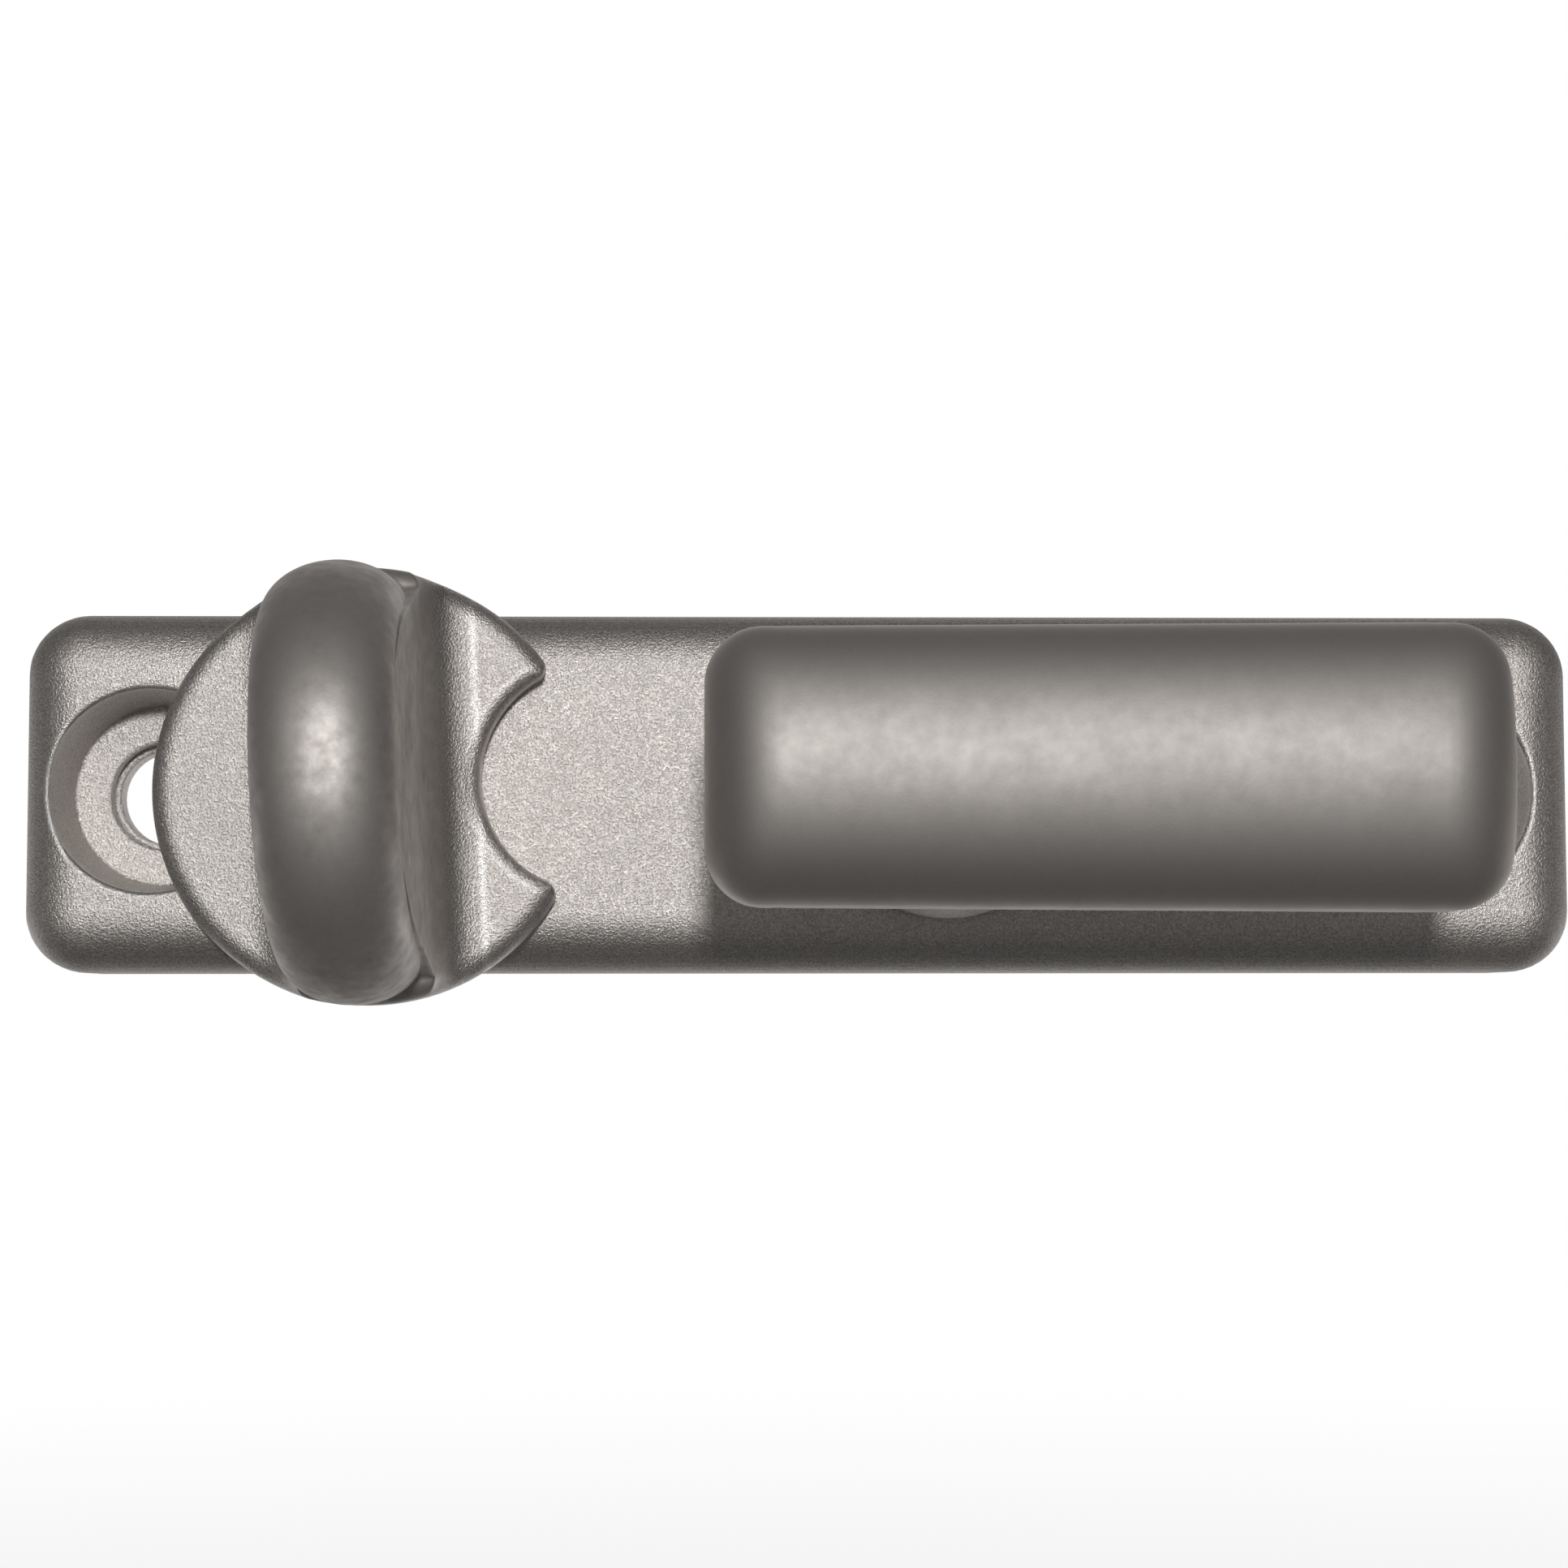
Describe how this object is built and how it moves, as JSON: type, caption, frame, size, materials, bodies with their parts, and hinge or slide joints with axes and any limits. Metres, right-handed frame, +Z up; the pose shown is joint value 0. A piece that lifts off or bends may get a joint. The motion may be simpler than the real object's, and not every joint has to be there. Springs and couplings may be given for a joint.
{
  "type": "door lock",
  "caption": "Narrow die-cast door plate with a bar lever on a square spindle and a notched thumb-turn on a square tailpiece.",
  "frame": {"origin": "centre of the plate's mounting face, which lies on the door", "axes": "+X along the plate from the thumb-turn to the lever, +Z up as mounted, +Y into the door; the plate's face looks along -Y"},
  "size_m": [0.1108, 0.075, 0.0304],
  "materials": {
    "satin_casting": "satin silver with fine sparkle",
    "plated_steel": "zinc plated",
    "spring_steel": "oiled spring steel",
    "black_steel": "black oxide",
    "bush_nylon": "matt black nylon"
  },
  "bodies": {
    "plate": {"base_plate": "satin_casting", "back_cover": "plated_steel", "cover_screws": "plated_steel", "lever_bush": "bush_nylon", "turn_bush": "bush_nylon", "index_ball_left": "spring_steel", "index_ball_right": "spring_steel", "index_spring_left": "spring_steel", "index_spring_right": "spring_steel", "turn_detent_ball": "spring_steel", "turn_detent_spring": "spring_steel"},
    "lever": {"lever_handle": "satin_casting", "lever_spindle": "plated_steel", "lever_grub_screw": "black_steel", "lever_index_disc": "plated_steel", "lever_washer": "spring_steel", "lever_disc_spring": "spring_steel", "lever_circlip": "spring_steel"},
    "thumb_turn": {"thumb_turn": "satin_casting", "turn_tailpiece": "plated_steel", "turn_cross_pin": "spring_steel", "turn_washer": "spring_steel", "turn_disc_spring": "spring_steel", "turn_circlip": "spring_steel"}
  },
  "joints": [
    {"name": "lever_pivot", "type": "hinge", "parent": "plate", "child": "lever", "pos_m": [0.01025, 0, 0], "axis": [0, 1, 0], "range_deg": [0, 90]},
    {"name": "turn_pivot", "type": "hinge", "parent": "plate", "child": "thumb_turn", "pos_m": [-0.03045, 0, 0], "axis": [0, -1, 0], "range_deg": [-2.75, 177.25]}
  ]
}
